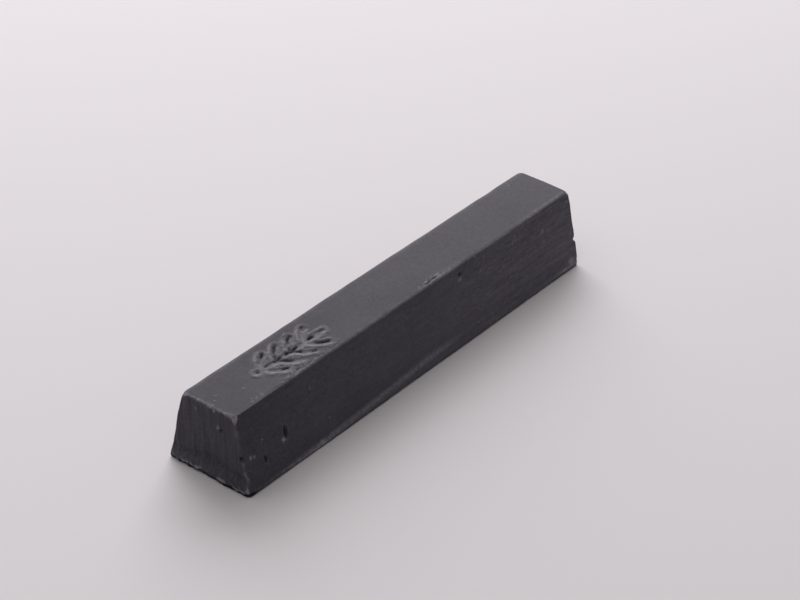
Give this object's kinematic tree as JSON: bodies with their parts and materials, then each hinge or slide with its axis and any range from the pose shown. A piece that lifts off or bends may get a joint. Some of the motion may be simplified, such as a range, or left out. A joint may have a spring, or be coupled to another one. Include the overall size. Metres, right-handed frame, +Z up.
{
  "type": "furniture repair wax stick",
  "caption": "Tapering bar of hard filler wax for mending dents and scratches in wood, cut off square at its ends, with a leafy sprig stamped into its narrow face.",
  "frame": {"origin": "middle of the base, the wide face that the bar lies on", "axes": "+X along the bar from the stamped end to the far end; +Y across the bar, from the side with the casting bubbles to the plain side; +Z up, from the wide base to the narrow stamped face"},
  "size_m": [0.0804, 0.0154, 0.0128],
  "materials": {
    "wax": null
  },
  "bodies": {
    "root": {"wax_bar": "wax"}
  },
  "joints": []
}
